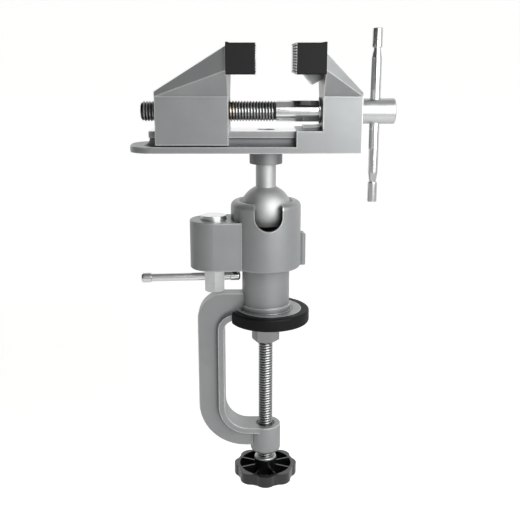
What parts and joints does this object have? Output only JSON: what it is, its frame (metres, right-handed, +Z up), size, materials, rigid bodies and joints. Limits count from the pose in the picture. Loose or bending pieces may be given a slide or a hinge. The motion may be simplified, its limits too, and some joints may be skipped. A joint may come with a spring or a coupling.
{
  "type": "ball vise",
  "caption": "Table vise with rubber-padded jaws on a lockable ball joint, a swivelling housing and a C-clamp for a table edge.",
  "frame": {"origin": "on the axis of the post and of the clamp screw, in the plane of the rubber ring's underside, where the table top lies", "axes": "+Z up along the post, +X along the jaws towards the bar's side, +Y away from the viewer"},
  "size_m": [0.1789, 0.077, 0.3263],
  "materials": {
    "silver_paint": "satin silver-grey paint on castings",
    "steel": "satin steel",
    "chrome": "bright plated",
    "black_rubber": "matte black rubber",
    "black_plastic": "glossy black plastic",
    "brass": "turned brass",
    "nylon": "plain nylon"
  },
  "bodies": {
    "frame": {"clamp_frame": "silver_paint", "table_ring": "black_rubber", "swivel_bolt": "steel"},
    "swivel": {"housing": "silver_paint", "socket_base": "silver_paint", "base_screws": "steel"},
    "cup": {"seat_cup": "nylon"},
    "stud": {"ball_stud": "steel", "stud_screw": "steel"},
    "bed_body": {"bed": "silver_paint", "fixed_pad": "black_rubber"},
    "slider": {"moving_jaw": "silver_paint", "moving_pad": "black_rubber", "jaw_nut": "brass", "gib_strips": "steel", "gib_screws": "steel"},
    "lead": {"lead_screw": "chrome", "lead_clip": "steel", "tommy_bar": "chrome", "bar_caps": "chrome"},
    "lock": {"lock_spindle": "chrome", "lock_disc": "chrome"},
    "lever": {"lock_lever": "chrome", "lever_knobs": "chrome"},
    "plunger": {"lock_plunger": "steel"},
    "thrust": {"thrust_washer": "steel"},
    "clamp": {"clamp_screw": "steel", "clamp_knob": "black_plastic", "knob_nut": "steel"},
    "foot": {"pressure_foot": "steel"}
  },
  "joints": [
    {"name": "base_swivel", "type": "hinge", "parent": "frame", "child": "swivel", "pos_m": [0, 0, 0.046], "axis": [0, 0, 1], "continuous": true},
    {"name": "ball_lean", "type": "hinge", "parent": "swivel", "child": "cup", "pos_m": [0, 0, 0.0808], "axis": [-0.0802, 0.9968, 0], "range_deg": [-33, 33]},
    {"name": "ball_tilt", "type": "hinge", "parent": "cup", "child": "stud", "pos_m": [0, 0, 0.0808], "axis": [0.9968, 0.0802, 0], "range_deg": [-33, 90]},
    {"name": "jaw_spin", "type": "hinge", "parent": "stud", "child": "bed_body", "pos_m": [0, 0, 0.124], "axis": [0, 0, 1], "continuous": true},
    {"name": "lead_turn", "type": "hinge", "parent": "bed_body", "child": "lead", "pos_m": [0.05, 0, 0.1487], "axis": [-1, 0, 0], "range_deg": [-2880, 4320]},
    {"name": "jaw_slide", "type": "slide", "parent": "bed_body", "child": "slider", "axis": [1, 0, 0], "range_m": [-0.016, 0.024]},
    {"name": "lever_turn", "type": "hinge", "parent": "swivel", "child": "lock", "pos_m": [-0.03638, -0.00293, 0.0505], "axis": [0, 0, 1], "range_deg": [0, 120]},
    {"name": "plunger_slide", "type": "slide", "parent": "swivel", "child": "plunger", "axis": [-0.9106, -0.0733, -0.4067], "range_m": [0, 0.0003]},
    {"name": "lever_slide", "type": "slide", "parent": "lock", "child": "lever", "axis": [0.9968, 0.0802, 0], "range_m": [-0.004, 0.001]},
    {"name": "clamp_slide", "type": "slide", "parent": "frame", "child": "thrust", "axis": [0, 0, 1], "range_m": [-0.05, 0]},
    {"name": "clamp_turn", "type": "hinge", "parent": "thrust", "child": "clamp", "pos_m": [0, 0, -0.009], "axis": [0, 0, 1], "range_deg": [-9000, 0]},
    {"name": "foot_tilt", "type": "hinge", "parent": "thrust", "child": "foot", "pos_m": [0, 0, -0.009], "axis": [0, 1, 0], "range_deg": [-6, 6]}
  ],
  "couplings": [
    {"joint": "jaw_slide", "follows": "lead_turn", "m_per_rad": 0.00031831},
    {"joint": "plunger_slide", "follows": "lever_turn", "m_per_rad": 0.00014324},
    {"joint": "clamp_turn", "follows": "clamp_slide", "rad_per_m": 3141.6}
  ]
}
